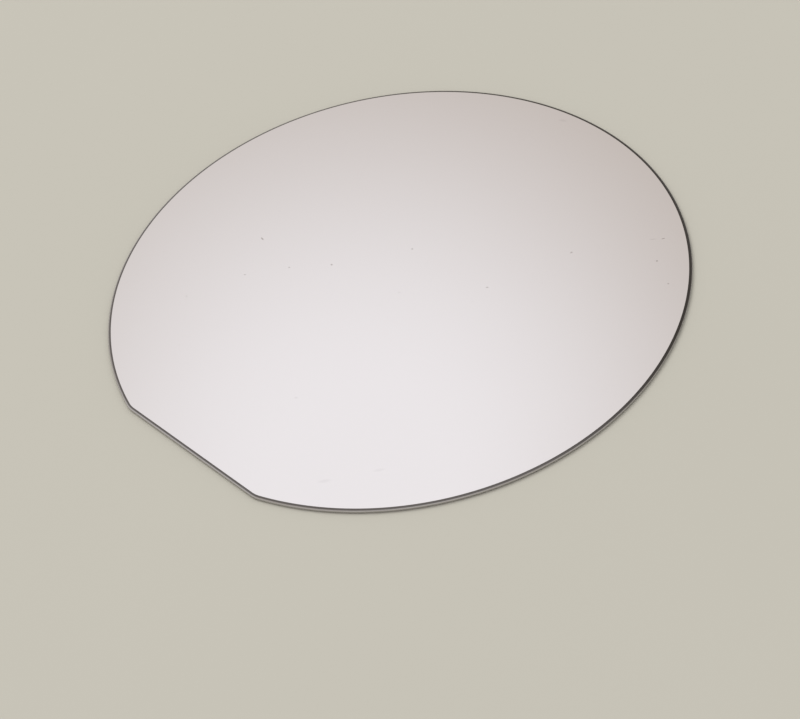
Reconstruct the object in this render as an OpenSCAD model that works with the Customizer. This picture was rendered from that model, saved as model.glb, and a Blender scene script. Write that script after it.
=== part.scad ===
// A single-crystal indium phosphide wafer: a thin disc with a polished front face
// and a ground edge. The flat in its round outline marks the crystal's direction.
//
// Frame: the origin is the centre of the disc, on its back face. +Z points out of
// the polished front face. The flat faces -Y.

/* [Wafer] */
// Diameter of the round edge
wafer_d = 50.8; // [45:0.1:105]
// Thickness between the two faces
wafer_t = 0.35; // [0.25:0.01:0.48]

/* [Orientation flat] */
// Length of the flat, between its sharp corners
flat_length = 16; // [12:0.5:24]
// Radius of the outline where the flat runs into the round edge
corner_r = 2.5; // [0.5:0.1:4]

/* [Ground edge] */
// Width of the ground edge, from the rim of a face out to the wafer's outline
edge_w = 0.25; // [0.12:0.01:0.38]
// Slope of the bevel that runs down from each face
bevel_angle = 22; // [15:1:32]
// Radius of the round nose between the bevels
nose_r = 0.25; // [0.18:0.01:0.4]

/* [Hidden] */
$fn = 180;

wafer_r = wafer_d / 2;
mid_z = wafer_t / 2;
bevel_drop = edge_w * tan(bevel_angle);

// The flat's direction, where 0 is +X
flat_dir = -90;
// Distance from the disc's centre to the flat
flat_reach = sqrt(pow(wafer_r, 2) - pow(flat_length / 2, 2));
// Distance from the disc's centre to the centre of a corner's arc
corner_reach = wafer_r - corner_r;
// Angle at a corner's centre between the flat and the round edge
corner_turn = acos((flat_reach - corner_r) / corner_reach);
// Short cuts that round each corner of the flat
corner_cuts = 4;

// Direction of a cut, away from the flat's own: cut 0 is the flat itself, and the
// others step round its two corners
function cut_turn(cut) = sign(cut) * corner_turn * (abs(cut) - 0.5) / corner_cuts;

// Distance from the disc's centre to a cut, which touches the corner's arc
function cut_reach(cut) =
    corner_r + corner_reach * cos(corner_turn - abs(cut_turn(cut)));

// Section of the wafer from x = from out to its outline at x = reach
module section(from, reach) {
    nose_x = reach - nose_r;
    intersection() {
        polygon([
            [from, 0],
            [reach - edge_w, 0],
            [reach, bevel_drop],
            [reach, wafer_t - bevel_drop],
            [reach - edge_w, wafer_t],
            [from, wafer_t]
        ]);
        union() {
            translate([from, 0])
                square([nose_x - from, wafer_t]);
            translate([nose_x, mid_z])
                circle(r = nose_r);
        }
    }
}

// A slab wider than the wafer, with the ground edge along its +X side
module slab(reach) {
    rotate([90, 0, 0])
        linear_extrude(height = 2 * wafer_d, center = true)
            section(-wafer_d, reach);
}

// What the flat and its rounded corners leave of the wafer, for a flat facing +X
module flat_limit() {
    intersection_for (cut = [-corner_cuts : corner_cuts])
        rotate([0, 0, cut_turn(cut)])
            slab(cut_reach(cut));
}

module wafer() {
    color([0.84, 0.82, 0.84])
    intersection() {
        rotate_extrude()
            section(0, wafer_r);
        rotate([0, 0, flat_dir])
            flat_limit();
    }
}

wafer();
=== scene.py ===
# %% [markdown]
# # An indium phosphide wafer
#
# A wafer is a thin slice of one single crystal. The front is polished until it is a
# mirror, the back is only etched, and the edge is ground to a bevelled, rounded
# profile so that it doesn't chip. One flat is ground into the round outline. It marks
# how the crystal's planes lie, so that chips can later be split off along them.
#
# The measured solid model comes first. It is loaded as a fixed frame, in metres, and
# everything made below is worked out from its box, so that nothing has to be fitted.

import math

import bpy
import numpy as np
from mathutils import Matrix, Vector


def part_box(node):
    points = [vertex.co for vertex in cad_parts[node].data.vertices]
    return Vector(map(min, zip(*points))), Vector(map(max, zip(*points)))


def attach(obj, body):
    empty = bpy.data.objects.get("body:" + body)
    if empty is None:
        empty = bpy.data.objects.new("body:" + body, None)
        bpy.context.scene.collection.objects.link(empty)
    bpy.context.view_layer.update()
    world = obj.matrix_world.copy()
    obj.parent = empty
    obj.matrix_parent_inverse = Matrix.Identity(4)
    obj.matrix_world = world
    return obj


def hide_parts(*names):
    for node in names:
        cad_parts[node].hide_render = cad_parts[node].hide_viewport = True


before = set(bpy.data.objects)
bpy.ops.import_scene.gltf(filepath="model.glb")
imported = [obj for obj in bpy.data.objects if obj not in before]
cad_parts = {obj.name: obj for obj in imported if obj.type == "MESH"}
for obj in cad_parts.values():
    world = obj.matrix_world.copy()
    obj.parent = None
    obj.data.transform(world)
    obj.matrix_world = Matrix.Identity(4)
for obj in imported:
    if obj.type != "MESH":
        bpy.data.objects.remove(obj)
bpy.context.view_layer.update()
box_low, box_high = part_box("wafer")
print("CAD box, mm:", [round(1000 * v, 3) for v in (*box_low, *box_high)])

# %% [markdown]
# ## Sizes
#
# The round edge reaches furthest to -X and +Y, and the flat cuts the -Y side. Reading
# them from the frame's box keeps the crystal below exactly as large as the solid. The
# other sizes are of the ground edge, and of the two corners where the flat runs into
# the round edge.

# %% Name the wafer's sizes
MM = 0.001
wafer_r = min(-box_low[0], box_high[0], box_high[1])
flat_reach = -box_low[1]
thickness = box_high[2] - box_low[2]
back_z = box_low[2]

corner_r = 2.5 * MM
bevel_slope = math.radians(22)
rim_r = 0.30 * MM
shoulder_r = 0.04 * MM
nose_r = 0.25 * MM
nose_half = math.radians(18.5)

FLAT_DIRECTION = math.radians(-90)
TURN = 2 * math.pi
print(f"wafer {2000 * wafer_r:.1f} mm across, {1000 * thickness:.2f} mm thick")

# %% [markdown]
# ## The outline
#
# Seen from above, the wafer is a circle with one flat, and each corner of the flat is
# rounded a little by the grinding wheel. It could be drawn as a circle mesh and cut
# with booleans, but a cut leaves stray points and uneven faces just where the light
# shows them. Here the outline is a walk of arcs and straights instead. The walk goes
# by the *outward direction*: along an arc it turns evenly, and along a flat it stays.

# %% Arcs and straights
def arc(centre_angle, centre_distance, radius, start, end, count):
    """Arc points: the centre plus the radius times (cosine, sine) of each direction.

    Returns rows of x, y and outward direction. The end itself is left to the next
    piece of the walk, so that no point comes twice.
    """
    turn = np.linspace(start, end, count, endpoint=False)
    x = centre_distance * math.cos(centre_angle) + radius * np.cos(turn)
    y = centre_distance * math.sin(centre_angle) + radius * np.sin(turn)
    return np.stack([x, y, turn], axis=1)


def straight(direction, reach, half, count):
    """Flat points: reach along the direction, plus -half to +half across it."""
    along = np.linspace(-half, half, count, endpoint=False)
    x = reach * math.cos(direction) - along * math.sin(direction)
    y = reach * math.sin(direction) + along * math.cos(direction)
    return np.stack([x, y, np.full(count, direction)], axis=1)


# %% Walk once round the outline
ROUND_STEP = math.radians(0.4)
FLAT_STEP = 0.25 * MM
CORNER_STEPS = 12


def outline():
    """Rows of x, y and outward direction, once round the wafer, anticlockwise.

    The corner's centre lies wafer - corner out from the middle, and it is turned away
    from the flat by the arccosine of (flat - corner) / (wafer - corner).
    """
    distance = wafer_r - corner_r
    turn = math.acos((flat_reach - corner_r) / distance)
    before, after = FLAT_DIRECTION - turn, FLAT_DIRECTION + turn
    half = distance * math.sin(turn)
    end = before + TURN
    return np.concatenate([
        arc(before, distance, corner_r, before, FLAT_DIRECTION, CORNER_STEPS),
        straight(FLAT_DIRECTION, flat_reach, half, round(2 * half / FLAT_STEP)),
        arc(after, distance, corner_r, FLAT_DIRECTION, after, CORNER_STEPS),
        arc(0, 0, wafer_r, after, end, math.ceil((end - after) / ROUND_STEP)),
    ])


rim = outline()
steps_round = np.diff(rim[:, :2], axis=0, append=rim[:1, :2])
lengths_round = np.linalg.norm(steps_round, axis=1)
print(f"{len(rim)} outline points, {1000 * lengths_round.sum():.1f} mm round the edge")

# %% [markdown]
# ## The edge profile
#
# Cut through, a ground edge is a shallow bevel from each face and a blunt round nose
# between them. Polishing rolls the rim of each face over a little, which gives a
# mirror wafer its thin bright outline. A bevel modifier would only know one radius,
# so the profile is walked too: its outward direction turns from straight up to
# straight down, each arc adds its radius times the change of (cosine, sine), and the
# bevels are the straights in between. Their length is what the thickness leaves over.

# %% Walk over the edge, from the front rim to the back rim
def edge_profile():
    """Inset from the outline and height above the back, in metres, for each point."""
    up, tilt = math.pi / 2, math.pi / 2 - bevel_slope
    arcs_height = (
        rim_r * (1 - math.sin(tilt))
        + shoulder_r * (math.sin(tilt) - math.sin(nose_half))
        + nose_r * math.sin(nose_half)
    )
    bevel = (thickness / 2 - arcs_height) / math.sin(bevel_slope)
    # radius, first and last outward direction, steps
    arcs = [
        (rim_r, up, tilt, 4),
        (shoulder_r, tilt, nose_half, 6),
        (nose_r, nose_half, -nose_half, 8),
        (shoulder_r, -nose_half, -tilt, 6),
        (rim_r, -tilt, -up, 4),
    ]
    moves = []
    for radius, start, end, count in arcs:
        turn = np.linspace(start, end, count + 1)
        outward = np.stack([np.cos(turn), np.sin(turn)], axis=1)
        moves.append(radius * np.diff(outward, axis=0))
    # one bevel goes in after the first arc, the other before the last
    down = bevel * np.array([[math.cos(bevel_slope), -math.sin(bevel_slope)]])
    moves.insert(1, down)
    moves.insert(-1, down * [[-1, 1]])
    walk = np.cumsum(np.concatenate([[[0, thickness]], *moves]), axis=0)
    return walk[:, 0].max() - walk[:, 0], walk[:, 1], bevel


inset, height, bevel_length = edge_profile()
lengths_over = np.hypot(np.diff(inset), np.diff(height))
print(f"edge {1000 * inset[0]:.3f} mm wide, bevels {1000 * bevel_length:.3f} mm")
print(f"profile ends at heights {1000 * height[0]:.4f} and {1000 * height[-1]:.4f} mm")

# %% [markdown]
# ## The crystal as one closed mesh
#
# The profile is carried along the outline: a grid whose one parameter runs over the
# edge and whose other runs round the wafer. Each face is closed by rings that shrink
# from its rim to its middle. The first ring lies right beside the rim, so that the
# smooth shading of the edge doesn't bend the reflection in the flat face.

# %% Carry the profile round, and close the two faces
RINGS = np.array([0.12, 0.3, 0.5, 0.7, 0.86, 0.96, 0.9994])


def crystal_grid():
    """Grid of points, rows over the edge and columns round the wafer.

    point = outline - inset * outward, at the profile's height. The rows before and
    after it are the two rims times each shrinking factor.
    """
    outward = np.stack([np.cos(rim[:, 2]), np.sin(rim[:, 2])], axis=1)
    flat = rim[None, :, :2] - inset[:, None, None] * outward[None]
    z = np.broadcast_to((back_z + height)[:, None, None], flat.shape[:2] + (1,))
    edge = np.concatenate([flat, z], axis=2)
    shrink = np.stack([RINGS, RINGS, np.ones_like(RINGS)], axis=1)[:, None, :]
    front = edge[0][None] * shrink
    back = edge[-1][None] * shrink[::-1]
    return np.concatenate([front, edge, back])


def grid_quads(rows, columns):
    """Corner numbers of every quad of a grid that closes on itself round the columns."""
    i, j = np.meshgrid(np.arange(rows - 1), np.arange(columns), indexing="ij")
    k = (j + 1) % columns
    here, below = i * columns, (i + 1) * columns
    return np.stack([here + j, below + j, below + k, here + k]).reshape(4, -1).T


grid = crystal_grid()
rows, columns = grid.shape[:2]
quads = grid_quads(rows, columns)
print(f"grid of {rows} x {columns} points, {len(quads)} quads")

# %% [markdown]
# The middle of each face is one point, joined to the smallest ring by triangles. All
# loops are written in the order that makes the faces look outwards.

# %% Close the poles and fill the mesh
FRONT, GROUND, BACK = 0, 1, 2


def pole_fans():
    """Triangles from each smallest ring to a point in the middle of its face."""
    j = np.arange(columns)
    k = (j + 1) % columns
    front_pole, back_pole = rows * columns, rows * columns + 1
    last = (rows - 1) * columns
    front = np.stack([np.full(columns, front_pole), j, k], axis=1)
    back = np.stack([last + j, np.full(columns, back_pole), last + k], axis=1)
    return np.concatenate([front, back])


def zones():
    """Which finish each face wears: quads by their row, then the two fans."""
    row = np.arange(rows - 1)
    not_front = np.where(row < rows - 1 - len(RINGS), GROUND, BACK)
    zone = np.where(row < len(RINGS), FRONT, not_front)
    fans = np.repeat([FRONT, BACK], columns)
    return np.concatenate([np.repeat(zone, columns), fans]).astype(np.int32)


poles = np.array([[0, 0, back_z + thickness], [0, 0, back_z]])
points = np.concatenate([grid.reshape(-1, 3), poles])
fans = pole_fans()
finish_of = zones()
print("faces of each finish:", np.bincount(finish_of))

# %% [markdown]
# Grinding marks run *along* the edge, so the edge needs a map that follows it. The
# crystal gets its own map in metres: on the edge it is the distance walked round and
# the distance walked over, and on the two faces it is plainly x and y.

# %% Lay the wafer's own map over the faces
def face_corners():
    """Vertex numbers corner by corner, and how many corners each face has."""
    loops = np.concatenate([quads.ravel(), fans.ravel()])
    counts = np.repeat([4, 3], [len(quads), len(fans)])
    return loops.astype(np.int32), counts.astype(np.int32)


def walked():
    """Distances walked to each quad's corners, round and over, and round to its start."""
    round_at = np.concatenate([[0], np.cumsum(lengths_round)])
    over_at = np.concatenate([[0], np.cumsum(lengths_over)])
    quad, corner = np.divmod(np.arange(quads.size), 4)
    row = quad // columns + np.isin(corner, (1, 2)) - len(RINGS)
    column = quad % columns
    over = over_at[np.clip(row, 0, len(over_at) - 1)]
    return round_at[column + (corner >= 2)], over, round_at[column]


def wafer_map():
    """Map place of each corner: walked distances on the edge, x and y on the faces."""
    spread = points[loops][:, :2].copy()
    spread[on_edge] = np.stack([round_to, over_to], axis=1)[on_edge]
    return spread


loops, counts = face_corners()
round_to, over_to, round_from = walked()
finish_at = np.repeat(finish_of, counts)
on_edge = np.flatnonzero(finish_at == GROUND)
places = wafer_map()
print(f"map reaches {1000 * places[:, 0].max():.1f} mm round the edge")

# %% [markdown]
# Programs that can't read nodes need the finishes baked into an image. A map that is
# unfolded by angle alone would lay the narrow edge round the faces like a hem, barely
# three pixels wide. So a second map lays the wafer out like a paper pattern. The faces
# are discs in two opposite corners of the sheet. The edge is cut into short strips,
# which lie in the corner between them and are stretched across their width. The map is
# called OFBake, because that is the name the export looks for.

# %% Lay the wafer out on one sheet for baking
SHEET_GAP = 0.01
DISC_R = 0.284  # from 0.287 on, the two discs would touch
STRIPS = 8
STRIP_LONG = 0.39
STRIP_WIDE = 0.032
STRIP_STEP = 0.048


def sheet_map():
    """Sheet place of each corner, from 0 to 1.

    A face is its x and y times the disc's share of the face's radius, and the back is
    turned over. A strip is the walk round the edge, folded back at each strip's
    length, and one step higher each time.
    """
    low, high = SHEET_GAP + DISC_R, 1 - SHEET_GAP - DISC_R
    disc = points[loops][:, :2] * DISC_R / (wafer_r - inset[0])
    front, back = disc + (low, high), disc * (-1, 1) + (high, low)
    spread = np.where(finish_at[:, None] == FRONT, front, back)
    strip_length = lengths_round.sum() / STRIPS
    strip = round_from // strip_length
    along = round_to / strip_length - strip
    across = 1 - over_to / lengths_over.sum()
    strips = np.stack([STRIP_LONG * along, STRIP_STEP * strip + STRIP_WIDE * across], axis=1)
    spread[on_edge] = (SHEET_GAP + strips)[on_edge]
    return spread


sheet = sheet_map()
print("sheet reaches from", sheet.min(axis=0).round(3), "to", sheet.max(axis=0).round(3))

# %% Put it into a mesh
def fill_mesh(name):
    """A mesh from the whole arrays: points, face corners, finishes and the two maps."""
    mesh = bpy.data.meshes.new(name)
    mesh.vertices.add(len(points))
    mesh.vertices.foreach_set("co", points.astype(np.float32).ravel())
    mesh.loops.add(len(loops))
    mesh.loops.foreach_set("vertex_index", loops)
    mesh.polygons.add(len(counts))
    starts = np.concatenate([[0], np.cumsum(counts)[:-1]]).astype(np.int32)
    mesh.polygons.foreach_set("loop_start", starts)
    mesh.polygons.foreach_set("material_index", finish_of)
    mesh.polygons.foreach_set("use_smooth", np.ones(len(counts), dtype=bool))
    mesh.update(calc_edges=True)
    for label, spread in (("wafer_map", places), ("OFBake", sheet)):
        layer = mesh.uv_layers.new(name=label)
        layer.uv.foreach_set("vector", spread.astype(np.float32).ravel())
    print("mesh needed repair:", mesh.validate())
    return mesh


crystal = bpy.data.objects.new("wafer_crystal", fill_mesh("wafer_crystal"))
bpy.context.scene.collection.objects.link(crystal)
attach(crystal, "root")
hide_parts("wafer")

# %% Check that the crystal is closed and faces outwards
crystal.data.calc_loop_triangles()
corners = np.empty(3 * len(crystal.data.loop_triangles), dtype=np.int32)
crystal.data.loop_triangles.foreach_get("vertices", corners)
tri = points[corners.reshape(-1, 3)]
volume = np.einsum("ij,ij->i", tri[:, 0], np.cross(tri[:, 1], tri[:, 2])).sum() / 6
edge_uses = np.zeros(len(crystal.data.edges), dtype=int)
loop_edges = np.empty(len(loops), dtype=np.int32)
crystal.data.loops.foreach_get("edge_index", loop_edges)
np.add.at(edge_uses, loop_edges, 1)
open_edges = np.sum(edge_uses != 2)
print(f"{len(tri)} triangles, volume {1e9 * volume:.1f} cubic mm, open edges {open_edges}")

# %% [markdown]
# ## Helpers for node materials
#
# A finish is a small network of nodes. A few helpers keep each one short to read:
# they add a node and set its values, join an output to an input, start a node group
# with named inputs and outputs, place a group, take the larger of two masks, and bring
# a value to a range.

# %% Node helpers
def add_node(tree, kind, values=None, **settings):
    """A new node of that kind, its settings set and its input values filled in."""
    made = tree.nodes.new(kind)
    for name, value in settings.items():
        setattr(made, name, value)
    for name, value in (values or {}).items():
        made.inputs[name].default_value = value
    return made


def join(tree, source, target, out=0, into=0):
    """Links output `out` of the source to input `into` of the target."""
    tree.links.new(source.outputs[out], target.inputs[into])


def start_group(name, inputs, outputs):
    """A shader node group with its sockets: (name, kind, default) and (name, kind)."""
    group = bpy.data.node_groups.new(name, "ShaderNodeTree")
    for label, kind, value in inputs:
        socket = group.interface.new_socket(label, in_out="INPUT", socket_type=kind)
        socket.default_value = value
    for label, kind in outputs:
        group.interface.new_socket(label, in_out="OUTPUT", socket_type=kind)
    return group, group.nodes.new("NodeGroupInput"), group.nodes.new("NodeGroupOutput")


def use_group(tree, group, values=None):
    """Places a group in a material with its own values."""
    return add_node(tree, "ShaderNodeGroup", values, node_tree=group)


def stronger(tree, first, second):
    """The larger of two masks at each place."""
    larger = add_node(tree, "ShaderNodeMath", operation="MAXIMUM")
    join(tree, first, larger)
    join(tree, second, larger, 0, 1)
    return larger


def to_range(tree, source, low, high):
    """A value from 0 to 1 brought to the range from low to high."""
    ranged = add_node(tree, "ShaderNodeMapRange", {"To Min": low, "To Max": high})
    join(tree, source, ranged, 0, "Value")
    return ranged


# %% [markdown]
# ## Dust on the polish
#
# A polished wafer hides nothing: each fleck of dust is a small matt spot in the
# mirror. A scatter texture would put them anywhere, so one speck is built as a group,
# an oval with a soft rim, and it is placed once for each fleck, by its place on the
# wafer in millimetres, its length, its width and the way it lies.

# %% One fleck of dust as a node group
def build_speck():
    """Mask of one oval fleck: 1 inside, falling to 0 over its soft rim.

    The place is moved to the fleck, turned and divided by its half sizes; the
    distance in that stretched space is 1 on the oval.
    """
    group, given, result = start_group(
        "dust_speck",
        [
            ("Place", "NodeSocketVector", (0, 0, 0)),
            ("Centre", "NodeSocketVector", (0, 0, 0)),
            ("Lie", "NodeSocketVector", (0, 0, 0)),
            ("Half Size", "NodeSocketVector", (1, 1, 1)),
            ("Soft", "NodeSocketFloat", 0.6),
            ("Strength", "NodeSocketFloat", 1.0),
        ],
        [("Mask", "NodeSocketFloat")],
    )
    turned = add_node(group, "ShaderNodeMapping", vector_type="TEXTURE")
    far = add_node(group, "ShaderNodeVectorMath", operation="LENGTH")
    begin = add_node(group, "ShaderNodeMath", {0: 1.0}, operation="SUBTRACT")
    fade = add_node(
        group, "ShaderNodeMapRange", {"To Min": 1.0, "To Max": 0.0},
        interpolation_type="SMOOTHSTEP",
    )
    scaled = add_node(group, "ShaderNodeMath", operation="MULTIPLY")
    join(group, given, turned, "Place", "Vector")
    join(group, given, turned, "Centre", "Location")
    join(group, given, turned, "Lie", "Rotation")
    join(group, given, turned, "Half Size", "Scale")
    join(group, turned, far)
    join(group, given, begin, "Soft", 1)
    join(group, far, fade, "Value", "Value")
    join(group, begin, fade, 0, "From Min")
    join(group, fade, scaled)
    join(group, given, scaled, "Strength", 1)
    join(group, scaled, result, 0, "Mask")
    return group


dust_speck = build_speck()
print("group", dust_speck.name, "with", len(dust_speck.nodes), "nodes")

# %% [markdown]
# The flecks themselves are a short list. Most are two or three tenths of a millimetre
# long. A second list holds faint smears, left where the wafer was held or rinsed:
# mostly larger, softer and hardly darker than the polish.

# %% Where the dust lies: x, y, length, width in mm, turn in degrees, strength
FLECKS = [
    (-13.98, -3.20, 0.55, 0.21, -12, 0.31),
    (-6.50, -1.68, 0.27, 0.25, 37, 0.28),
    (-11.85, -7.22, 0.31, 0.15, 37, 0.25),
    (-9.30, -4.20, 0.27, 0.22, 0, 0.19),
    (-2.15, 4.00, 0.23, 0.20, 0, 0.28),
    (6.50, 4.60, 0.34, 0.21, 37, 0.21),
    (0.80, -0.45, 0.24, 0.12, 37, 0.16),
    (16.00, 15.70, 0.23, 0.20, 37, 0.46),
    (18.60, 14.25, 0.21, 0.21, 0, 0.28),
    (14.60, 18.05, 0.44, 0.18, 53, 0.30),
    (9.40, 12.05, 0.26, 0.35, -25, 0.22),
    (-14.05, -12.20, 0.15, 0.15, 0, 0.30),
]
SMEARS = [
    (2.70, -14.45, 0.45, 0.30, 37, 0.08),
    (13.95, 17.45, 0.95, 0.24, 45, 0.10),
    (-2.95, 24.00, 1.20, 0.45, 20, 0.10),
    (11.40, -19.30, 1.60, 0.60, 50, 0.06),
    (14.10, -15.70, 1.40, 0.50, 50, 0.05),
]
print(len(FLECKS), "flecks and", len(SMEARS), "smears")


def scatter(tree, place, marks, soft):
    """The strongest mask of all marks at each place."""
    strongest = None
    for x, y, length, width, turn, strength in marks:
        fleck = use_group(tree, dust_speck, {
            "Centre": (x * MM, y * MM, back_z + thickness),
            "Lie": (0, 0, math.radians(turn)),
            "Half Size": (length * MM / 2, width * MM / 2, MM),
            "Soft": soft,
            "Strength": strength,
        })
        join(tree, place, fleck, "Object", "Place")
        strongest = fleck if strongest is None else stronger(tree, strongest, fleck)
    return strongest


# %% [markdown]
# Between the flecks lies dust that is too small to place one by one. Voronoi cells in
# the plane give each point its nearest seed. A dot is drawn round the seed, its size
# comes from the cell's own random colour, and a cell whose size falls below 0 has none.

# %% Fine dust from Voronoi cells
SMALLEST_DOT = 0.0001


def build_fine_dust():
    """Mask of dots: 1 - distance / (Size * (random - Bare)), never under 0."""
    group, given, result = start_group(
        "fine_dust",
        [
            ("Place", "NodeSocketVector", (0, 0, 0)),
            ("Cells", "NodeSocketFloat", 400.0),
            ("Size", "NodeSocketFloat", 0.03),
            ("Bare", "NodeSocketFloat", 0.5),
            ("Strength", "NodeSocketFloat", 0.5),
        ],
        [("Mask", "NodeSocketFloat")],
    )
    cells = add_node(group, "ShaderNodeTexVoronoi", voronoi_dimensions="2D")
    chance = add_node(group, "ShaderNodeSeparateColor")
    above = add_node(group, "ShaderNodeMath", operation="SUBTRACT")
    size = add_node(group, "ShaderNodeMath", operation="MULTIPLY")
    real = add_node(group, "ShaderNodeMath", {1: SMALLEST_DOT}, operation="MAXIMUM")
    dot = add_node(
        group, "ShaderNodeMapRange", {"From Min": 0.0, "To Min": 1.0, "To Max": 0.0},
        interpolation_type="SMOOTHSTEP",
    )
    scaled = add_node(group, "ShaderNodeMath", operation="MULTIPLY")
    join(group, given, cells, "Place", "Vector")
    join(group, given, cells, "Cells", "Scale")
    join(group, cells, chance, "Color", 0)
    join(group, chance, above, "Red", 0)
    join(group, given, above, "Bare", 1)
    join(group, above, size)
    join(group, given, size, "Size", 1)
    join(group, size, real)
    join(group, cells, dot, "Distance", "Value")
    join(group, real, dot, 0, "From Max")
    join(group, dot, scaled)
    join(group, given, scaled, "Strength", 1)
    join(group, scaled, result, 0, "Mask")
    return group


fine_dust = build_fine_dust()
print("group", fine_dust.name, "with", len(fine_dust.nodes), "nodes")

# %% [markdown]
# ## Fine grain
#
# Both unpolished finishes are rough at a scale that the eye only just sees. One group
# serves both: two sizes of noise, the finer one riding on the coarser, which gives a
# value for the colour and a height for the bump. The ground edge stretches it along
# the grinding, and the etched back leaves it even.

# %% Grain as a node group
COARSE_NOISE = {"Detail": 3.0, "Roughness": 0.6}
FINE_NOISE = {"Detail": 2.0, "Roughness": 0.5}


def build_grain():
    """Coarse noise + Share * fine noise, each centred on 0, and 0.5 added at the end."""
    group, given, result = start_group(
        "fine_grain",
        [
            ("Place", "NodeSocketVector", (0, 0, 0)),
            ("Stretch", "NodeSocketVector", (1, 1, 1)),
            ("Coarse Scale", "NodeSocketFloat", 3000.0),
            ("Fine Scale", "NodeSocketFloat", 15000.0),
            ("Share", "NodeSocketFloat", 0.6),
        ],
        [("Grain", "NodeSocketFloat")],
    )
    shaped = add_node(group, "ShaderNodeVectorMath", operation="MULTIPLY")
    coarse = add_node(group, "ShaderNodeTexNoise", COARSE_NOISE)
    fine = add_node(group, "ShaderNodeTexNoise", FINE_NOISE)
    centred = add_node(group, "ShaderNodeMath", {1: 0.5}, operation="SUBTRACT")
    shared = add_node(group, "ShaderNodeMath", operation="MULTIPLY")
    total = add_node(group, "ShaderNodeMath", operation="ADD")
    join(group, given, shaped, "Place", 0)
    join(group, given, shaped, "Stretch", 1)
    join(group, shaped, coarse, 0, "Vector")
    join(group, shaped, fine, 0, "Vector")
    join(group, given, coarse, "Coarse Scale", "Scale")
    join(group, given, fine, "Fine Scale", "Scale")
    join(group, fine, centred)
    join(group, centred, shared)
    join(group, given, shared, "Share", 1)
    join(group, coarse, total)
    join(group, shared, total, 0, 1)
    join(group, total, result, 0, "Grain")
    return group


fine_grain = build_grain()
print("group", fine_grain.name, "with", len(fine_grain.nodes), "nodes")

# %% [markdown]
# ## The polished front
#
# Polished indium phosphide is a grey mirror with a faint mauve cast. It isn't a
# coated glass but a bare surface, so the plainest way is right: fully metallic and
# almost without roughness. What keeps it real is what breaks the mirror: a haze that
# drifts a little over the face, and the dust that lies on it.

# %% Start a material and mix its colours
def start_material(name):
    """A new material with only its Principled shader and output; returns its parts."""
    material = bpy.data.materials.new(name)
    material.use_nodes = True
    tree = material.node_tree
    tree.nodes.clear()
    shader = tree.nodes.new("ShaderNodeBsdfPrincipled")
    output = tree.nodes.new("ShaderNodeOutputMaterial")
    join(tree, shader, output, "BSDF", "Surface")
    return material, tree, shader


def colour_mix(tree, first, second, factor, out=0):
    """Mixes two colours by output `out` of the factor node."""
    mixed = add_node(tree, "ShaderNodeMix", data_type="RGBA")
    mixed.inputs["A"].default_value = (*first, 1)
    mixed.inputs["B"].default_value = (*second, 1)
    tree.links.new(factor.outputs[out], mixed.inputs["Factor"])
    return mixed


# %% Polished front
POLISH = (0.800, 0.775, 0.785)
HAZE = (0.790, 0.762, 0.770)
HAZE_DRIFT = {"Scale": 60.0, "Detail": 2.0}
POLISH_ROUGHNESS = (0.02, 0.035)
DUST = (0.16, 0.13, 0.13)
DUST_ROUGHNESS = 0.8
FLECK_SOFT, SMEAR_SOFT = 0.6, 0.95
DOTS = {"Cells": 300.0, "Size": 0.022, "Strength": 0.6}


def polished_front():
    """Mirror with a drifting haze and the dust and smears laid over it."""
    material, tree, shader = start_material("polished_front")
    place = add_node(tree, "ShaderNodeTexCoord")
    drift = add_node(tree, "ShaderNodeTexNoise", HAZE_DRIFT)
    join(tree, place, drift, "Object", "Vector")
    clean = colour_mix(tree, POLISH, HAZE, drift)
    flecks = scatter(tree, place, FLECKS, FLECK_SOFT)
    smears = scatter(tree, place, SMEARS, SMEAR_SOFT)
    dots = use_group(tree, fine_dust, DOTS)
    join(tree, place, dots, "Object", "Place")
    dirt = stronger(tree, stronger(tree, flecks, smears), dots)
    dusty = colour_mix(tree, POLISH, DUST, dirt)
    join(tree, clean, dusty, "Result", "A")
    join(tree, dusty, shader, "Result", "Base Color")
    gloss = to_range(tree, drift, *POLISH_ROUGHNESS)
    matt = add_node(tree, "ShaderNodeMix", {"B": DUST_ROUGHNESS}, data_type="FLOAT")
    join(tree, dirt, matt, 0, "Factor")
    join(tree, gloss, matt, 0, "A")
    join(tree, matt, shader, "Result", "Roughness")
    shader.inputs["Metallic"].default_value = 1.0
    return material


crystal.data.materials.append(polished_front())

# %% [markdown]
# ## The ground edge
#
# A diamond wheel leaves the edge dark and dull, with the finest of lines along it.
# The nose is what every tray and tweezer touches, so there the crystal is rubbed to a
# gloss that mirrors whatever lies beside it. The edge could be cut into bands with a
# material each, but wear has no border. The wafer's own map knows how far each point
# lies from the middle of the nose, and a little of the grain makes that border ragged.
# Towards the side across from the flat, the edge is painted darker and its rubbed band
# narrower: that is painted shade.

# %% Ground edge
EDGE_DARK = (0.105, 0.098, 0.096)
EDGE_LIGHT = (0.200, 0.188, 0.184)
# painted shade: the edge's colour on its darkest side
EDGE_SHADED = (0.060, 0.055, 0.051)
EDGE_WORN = (0.470, 0.452, 0.446)
NOSE_MIDDLE = lengths_over.sum() / 2
NOSE_LENGTH = nose_r * nose_half + shoulder_r * (math.pi / 2 - bevel_slope - nose_half)
WORN_HALF = 0.9 * NOSE_LENGTH
WORN_FADE = 0.08 * MM
WORN_RAGGED = 0.06 * MM
# painted shade: the next three lines narrow the rubbed band and darken the edge towards one
# bearing
WEAR_AND_SHADE_SHIFT = 0.050 * MM
SHADED_SIDE = math.radians(65)
SHADED_FROM, SHADED_TO = 0.0, 0.8
GROUND_ROUGHNESS = (0.28, 0.40)
WORN_ROUGHNESS = 0.24
GROUND_METALLIC = 0.9
GROUND_LINES = {"Strength": 0.4, "Distance": 0.002 * MM}
GROUND_GRAIN = {
    "Stretch": (0.05, 1.0, 1.0),
    "Coarse Scale": 30000.0,
    "Fine Scale": 90000.0,
    "Share": 0.8,
}


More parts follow.
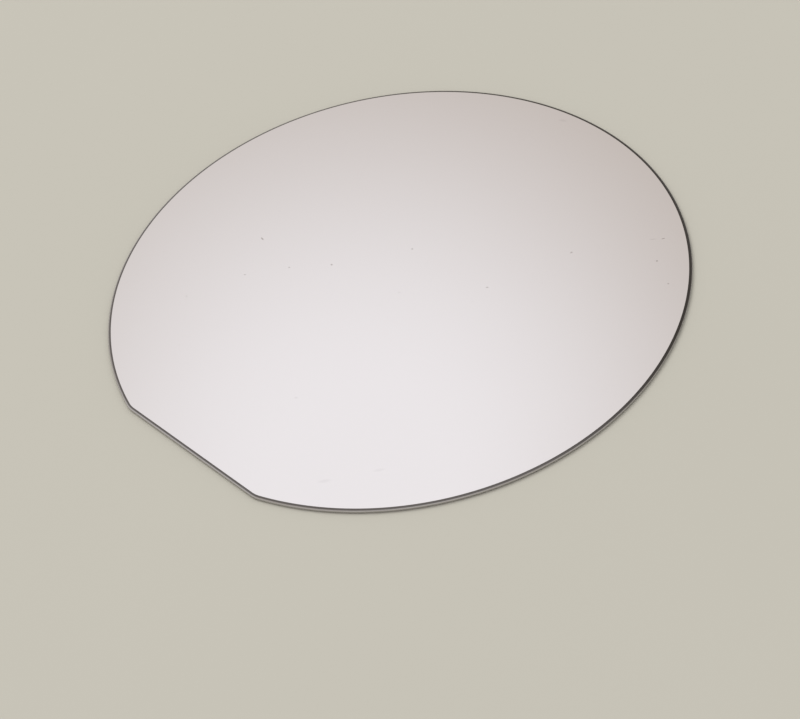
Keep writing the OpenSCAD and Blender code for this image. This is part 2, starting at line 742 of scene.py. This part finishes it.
def ground_edge():
    """Dark, dull bevels with lines along them, rubbed glossy towards the nose.

    Wear is 1 near the middle of the nose, measured over the edge, and falls
    smoothly to 0 on the bevel. The grain moves that place in and out. The direction
    from the wafer's middle, by its cosine from the shaded side, moves it as well and
    darkens the colour there: painted shade.
    """
    material, tree, shader = start_material("ground_edge")
    place = add_node(tree, "ShaderNodeUVMap", uv_map="wafer_map")
    grain = use_group(tree, fine_grain, GROUND_GRAIN)
    join(tree, place, grain, "UV", "Place")
    over = add_node(tree, "ShaderNodeSeparateXYZ")
    join(tree, place, over, "UV", "Vector")
    beside = add_node(tree, "ShaderNodeMath", {1: NOSE_MIDDLE}, operation="SUBTRACT")
    join(tree, over, beside, "Y", 0)
    away = add_node(tree, "ShaderNodeMath", operation="ABSOLUTE")
    join(tree, beside, away)
    ragged = add_node(tree, "ShaderNodeMath", {1: WORN_RAGGED}, operation="MULTIPLY_ADD")
    join(tree, grain, ragged, 0, 0)
    join(tree, away, ragged, 0, 2)
    at = add_node(tree, "ShaderNodeTexCoord")
    # painted shade: how far each point lies towards the shaded side
    side = add_node(
        tree, "ShaderNodeVectorMath",
        {1: (math.cos(SHADED_SIDE) / wafer_r, math.sin(SHADED_SIDE) / wafer_r, 0)},
        operation="DOT_PRODUCT",
    )
    join(tree, at, side, "Object", 0)
    shifted = add_node(tree, "ShaderNodeMath", {1: WEAR_AND_SHADE_SHIFT}, operation="MULTIPLY_ADD")
    join(tree, side, shifted, "Value", 0)
    join(tree, ragged, shifted, 0, 2)
    begin = WORN_HALF + WORN_RAGGED / 2
    wear_and_shade = add_node(
        tree, "ShaderNodeMapRange",
        {"From Min": begin, "From Max": begin + WORN_FADE, "To Min": 1.0, "To Max": 0.0},
        interpolation_type="SMOOTHSTEP",
    )
    join(tree, shifted, wear_and_shade, 0, "Value")
    tone = colour_mix(tree, EDGE_DARK, EDGE_LIGHT, grain)
    # painted shade: the edge darkened towards that side
    shaded_side = add_node(
        tree, "ShaderNodeMapRange", {"From Min": SHADED_FROM, "From Max": SHADED_TO},
        interpolation_type="SMOOTHSTEP",
    )
    join(tree, side, shaded_side, "Value", "Value")
    painted_shade = colour_mix(tree, EDGE_DARK, EDGE_SHADED, shaded_side)
    join(tree, tone, painted_shade, "Result", "A")
    rubbed_and_shaded = colour_mix(tree, EDGE_DARK, EDGE_WORN, wear_and_shade)
    join(tree, painted_shade, rubbed_and_shaded, "Result", "A")
    join(tree, rubbed_and_shaded, shader, "Result", "Base Color")
    gloss = to_range(tree, grain, *GROUND_ROUGHNESS)
    glossier = add_node(tree, "ShaderNodeMix", {"B": WORN_ROUGHNESS}, data_type="FLOAT")
    join(tree, wear_and_shade, glossier, 0, "Factor")
    join(tree, gloss, glossier, 0, "A")
    join(tree, glossier, shader, "Result", "Roughness")
    bump = add_node(tree, "ShaderNodeBump", GROUND_LINES)
    join(tree, grain, bump, 0, "Height")
    join(tree, bump, shader, 0, "Normal")
    shader.inputs["Metallic"].default_value = GROUND_METALLIC
    return material


crystal.data.materials.append(ground_edge())

# %% [markdown]
# ## The etched back
#
# The back is lapped flat and then etched in acid, which leaves shallow dimples like
# orange peel and an even, silky grey. Cells of a Voronoi texture make the dimples,
# and the same fine grain as on the edge, unstretched, takes the last gloss away. The
# bottom of each dimple is painted a little darker than the ridges between them: painted
# shade.

# %% Etched back
ETCHED_DARK = (0.290, 0.278, 0.292)
ETCHED_LIGHT = (0.400, 0.386, 0.402)
ETCHED_ROUGHNESS = (0.42, 0.60)
ETCHED_METALLIC = 0.8
DIMPLES = {"Scale": 4200.0, "Smoothness": 0.35}
DIMPLE_DEPTH = {"Strength": 0.5, "Distance": 0.025 * MM}
SHADE_FROM, SHADE_TO = 0.35, 1.25
ETCHED_GRAIN = {"Coarse Scale": 900.0, "Fine Scale": 26000.0, "Share": 0.7}


def etched_back():
    """Silky grey with shallow dimples.

    The surface is the distance to the nearest cell's middle plus the grain. It gives
    the bump its height, and brought to 0 to 1 it mixes the dark and the light grey:
    painted shade in the low middle of each dimple, and the grain's random tone.
    """
    material, tree, shader = start_material("etched_back")
    place = add_node(tree, "ShaderNodeTexCoord")
    cells = add_node(tree, "ShaderNodeTexVoronoi", DIMPLES, feature="SMOOTH_F1")
    grain = use_group(tree, fine_grain, ETCHED_GRAIN)
    join(tree, place, cells, "Object", "Vector")
    join(tree, place, grain, "Object", "Place")
    surface = add_node(tree, "ShaderNodeMath", operation="ADD")
    join(tree, cells, surface, "Distance", 0)
    join(tree, grain, surface, 0, 1)
    # painted shade: the low middle of each dimple gets the dark grey, the grain adds random
    # tone
    shade = add_node(
        tree, "ShaderNodeMapRange", {"From Min": SHADE_FROM, "From Max": SHADE_TO},
    )
    join(tree, surface, shade, 0, "Value")
    tone = colour_mix(tree, ETCHED_DARK, ETCHED_LIGHT, shade)
    join(tree, tone, shader, "Result", "Base Color")
    bump = add_node(tree, "ShaderNodeBump", DIMPLE_DEPTH)
    join(tree, surface, bump, 0, "Height")
    join(tree, bump, shader, 0, "Normal")
    gloss = to_range(tree, grain, *ETCHED_ROUGHNESS)
    join(tree, gloss, shader, 0, "Roughness")
    shader.inputs["Metallic"].default_value = ETCHED_METALLIC
    return material


crystal.data.materials.append(etched_back())
print("finishes:", [m.name for m in crystal.data.materials])

# %% [markdown]
# ## The table it lies on
#
# The floor is a plain pale board. It is a wide disc, so that its far edge melts into
# the backdrop of the same colour from any side. It is stage, not part of the wafer.

# %% Floor
FLOOR = (0.578, 0.552, 0.479)
FLOOR_R = 1.5
FLOOR_POINTS = 96
CLOUDS = {"Scale": 14.0, "Detail": 3.0}
CLOUD_DEPTH = 0.015
BOARD_ROUGHNESS = 0.85
BOARD_SPECULAR = 0.15


def floor_disc():
    """A ring of points, radius times (cosine, sine), about a middle point."""
    turn = np.linspace(0, TURN, FLOOR_POINTS, endpoint=False)
    circle = np.stack([np.cos(turn), np.sin(turn), np.zeros_like(turn)], axis=1)
    verts = np.concatenate([[[0, 0, 0]], FLOOR_R * circle])
    j = np.arange(FLOOR_POINTS)
    faces = np.stack([np.zeros_like(j), 1 + j, 1 + (j + 1) % FLOOR_POINTS], axis=1)
    mesh = bpy.data.meshes.new("table_top")
    mesh.from_pydata(verts.tolist(), [], faces.tolist())
    return mesh


def table_finish():
    """Pale matt board with the faintest cloudiness."""
    material, tree, shader = start_material("table_board")
    place = add_node(tree, "ShaderNodeTexCoord")
    cloud = add_node(tree, "ShaderNodeTexNoise", CLOUDS)
    join(tree, place, cloud, "Object", "Vector")
    darker = [(1 - CLOUD_DEPTH) * c for c in FLOOR]
    lighter = [(1 + CLOUD_DEPTH) * c for c in FLOOR]
    tone = colour_mix(tree, darker, lighter, cloud)
    join(tree, tone, shader, "Result", "Base Color")
    shader.inputs["Roughness"].default_value = BOARD_ROUGHNESS
    shader.inputs["Specular IOR Level"].default_value = BOARD_SPECULAR
    return material


table = bpy.data.objects.new("table_top", floor_disc())
table.data.materials.append(table_finish())
bpy.context.scene.collection.objects.link(table)
print("floor radius", FLOOR_R, "m")

# %% [markdown]
# ## The light
#
# A mirror shows the room, not itself, so the room is where the wafer's look is made.
# The backdrop has the floor's tone. Round softboxes hang in it as soft glows: a
# wide group of them, so that the wafer shows a gentle gradient from any side. They
# are drawn straight into the world as functions of direction, which gives edges as
# soft as a big diffuser has. The last of them is the glow of the table itself, which
# rises a little over the horizon. Other rays see an even white light instead.

# %% One softbox as a node group
def build_softbox():
    """Glow by the angle to the softbox: 1 within Inner, 0 past Outer, smooth between."""
    group, given, result = start_group(
        "softbox",
        [
            ("Direction", "NodeSocketVector", (0, 0, 1)),
            ("Towards", "NodeSocketVector", (0, 0, 1)),
            ("Inner", "NodeSocketFloat", 0.02),
            ("Outer", "NodeSocketFloat", 0.2),
            ("Strength", "NodeSocketFloat", 1.0),
        ],
        [("Glow", "NodeSocketFloat")],
    )
    near = add_node(group, "ShaderNodeVectorMath", operation="DOT_PRODUCT")
    angle = add_node(group, "ShaderNodeMath", operation="ARCCOSINE")
    fade = add_node(
        group, "ShaderNodeMapRange", {"To Min": 1.0, "To Max": 0.0},
        interpolation_type="SMOOTHSTEP",
    )
    scaled = add_node(group, "ShaderNodeMath", operation="MULTIPLY")
    join(group, given, near, "Direction", 0)
    join(group, given, near, "Towards", 1)
    join(group, near, angle, "Value", 0)
    join(group, angle, fade, 0, "Value")
    join(group, given, fade, "Inner", "From Min")
    join(group, given, fade, "Outer", "From Max")
    join(group, fade, scaled)
    join(group, given, scaled, "Strength", 1)
    join(group, scaled, result, 0, "Glow")
    return group


softbox = build_softbox()


def towards(bearing, elevation):
    """Unit vector at a bearing from +X and an elevation, both in degrees."""
    b, e = math.radians(bearing), math.radians(elevation)
    return (math.cos(e) * math.cos(b), math.cos(e) * math.sin(b), math.sin(e))


# %% Hang the softboxes: bearing, elevation, inner and outer angle in degrees, strength
SOFTBOXES = [
    (146.8, 47.4, 1.5, 11.8, 1.00),
    (198.0, 46.0, 0.0, 28.0, 0.95),
    (266.8, 44.0, 0.0, 26.0, 1.00),
    (300.0, 52.0, 0.0, 24.0, 0.90),
    (26.8, 44.0, 0.0, 24.0, 1.00),
    (80.0, 66.0, 0.0, 26.0, 0.80),
    (200.0, 82.0, 0.0, 20.0, 1.00),
    (340.0, 72.0, 0.0, 24.0, 0.85),
    (106.0, 18.0, 0.0, 26.0, 0.90),
    (156.0, 14.0, 0.0, 26.0, 0.80),
    (182.0, 4.0, 0.0, 20.0, 0.70),
    (210.0, 16.0, 0.0, 26.0, 0.80),
    (272.0, 4.0, 0.0, 24.0, 0.70),
    (330.0, 16.0, 0.0, 26.0, 0.80),
    (12.0, 4.0, 0.0, 24.0, 0.70),
    (74.0, 8.0, 0.0, 20.0, 0.70),
    (0.0, -90.0, 60.0, 128.0, 0.50),
]
ROOM = (0.597, 0.538, 0.473)
GLOW = (1.040, 1.030, 1.035)
EVEN_LIGHT = 0.79


def hang(tree, direction, hung):
    """Mask of all the lobes in a list: a + b * (1 - a), which leaves no crease."""
    total = None
    for bearing, elevation, inner, outer, strength in hung:
        lobe = use_group(tree, softbox, {
            "Towards": towards(bearing, elevation),
            "Inner": math.radians(inner),
            "Outer": math.radians(outer),
            "Strength": strength,
        })
        join(tree, direction, lobe, "Generated", "Direction")
        if total is None:
            total = lobe
            continue
        left = add_node(tree, "ShaderNodeMath", {0: 1.0}, operation="SUBTRACT")
        both = add_node(tree, "ShaderNodeMath", operation="MULTIPLY_ADD")
        join(tree, total, left, 0, 1)
        join(tree, lobe, both, 0, 0)
        join(tree, left, both, 0, 1)
        join(tree, total, both, 0, 2)
        total = both
    return total


def build_world():
    """Even light for matt surfaces, the backdrop for the camera, glows for mirrors."""
    world = bpy.data.worlds.new("studio")
    bpy.context.scene.world = world
    world.use_nodes = True
    tree = world.node_tree
    tree.nodes.clear()
    direction = add_node(tree, "ShaderNodeTexCoord")
    mirrored = colour_mix(tree, ROOM, GLOW, hang(tree, direction, SOFTBOXES))
    path = add_node(tree, "ShaderNodeLightPath")
    shown = colour_mix(tree, (EVEN_LIGHT,) * 3, FLOOR, path, "Is Camera Ray")
    glossy = colour_mix(tree, FLOOR, GLOW, path, "Is Glossy Ray")
    join(tree, shown, glossy, "Result", "A")
    join(tree, mirrored, glossy, "Result", "B")
    sky = tree.nodes.new("ShaderNodeBackground")
    output = tree.nodes.new("ShaderNodeOutputWorld")
    join(tree, glossy, sky, "Result", "Color")
    join(tree, sky, output)


build_world()
print("world with", len(SOFTBOXES), "softboxes")

# %% [markdown]
# One real area lamp gives the floor its soft shadow. It hangs behind and to the left
# of the wafer and is hidden from mirrors, which already see the softboxes.

# %% Soft key lamp
LAMP_SIZE = 0.9
LAMP_DISTANCE = 1.4
LAMP_POWER = 5.5
LAMP_BEARING, LAMP_ELEVATION = 190, 52


def hang_lamp(name):
    """Square area lamp at its bearing and elevation, turned to face the wafer."""
    lamp = bpy.data.lights.new(name, "AREA")
    lamp.shape = "SQUARE"
    lamp.size = LAMP_SIZE
    lamp.energy = LAMP_POWER
    hung = bpy.data.objects.new(name, lamp)
    at = Vector(towards(LAMP_BEARING, LAMP_ELEVATION)) * LAMP_DISTANCE
    hung.location = at
    hung.rotation_euler = (-at).to_track_quat("-Z", "Y").to_euler()
    hung.visible_glossy = False
    bpy.context.scene.collection.objects.link(hung)
    return hung


key = hang_lamp("key_lamp")
print("key lamp at", [round(v, 2) for v in key.location])

# %% [markdown]
# ## The camera
#
# A long lens looks down at the wafer at about 45 degrees, rolled a little, with the
# flat at the lower left. Its place could be typed in as a location and a rotation, but
# a point to look at, a distance and three angles say more to a reader.

# %% Camera
LOOK_AT = Vector((6.58, -5.98, 0.35)) * MM
DISTANCE = 232.0 * MM
AZIMUTH = math.radians(54.89)
ELEVATION = math.radians(45.33)
ROLL = math.radians(-12.66)
LENS = 124.56
SENSOR_WIDTH = 36.0
NEAREST = 0.01


def camera_matrix():
    """Right, up and back as the columns, turned by the roll, then the place."""
    back = Vector((
        math.sin(AZIMUTH) * math.cos(ELEVATION),
        -math.cos(AZIMUTH) * math.cos(ELEVATION),
        math.sin(ELEVATION),
    ))
    right = Vector((math.cos(AZIMUTH), math.sin(AZIMUTH), 0))
    up = back.cross(right)
    rolled_right = math.cos(ROLL) * right + math.sin(ROLL) * up
    rolled_up = math.cos(ROLL) * up - math.sin(ROLL) * right
    turn = Matrix((rolled_right, rolled_up, back)).transposed().to_4x4()
    return Matrix.Translation(LOOK_AT + DISTANCE * back) @ turn


camera = bpy.data.objects.new("camera", bpy.data.cameras.new("camera"))
camera.data.lens = LENS
camera.data.sensor_width = SENSOR_WIDTH
camera.data.clip_start = NEAREST
camera.matrix_world = camera_matrix()
bpy.context.scene.collection.objects.link(camera)
bpy.context.scene.camera = camera
print("camera at, mm:", [round(1000 * v, 1) for v in camera.location])

# %% [markdown]
# ## Finish
#
# Colours are shown as they are, with no film look.

bpy.context.scene.view_settings.view_transform = "Standard"
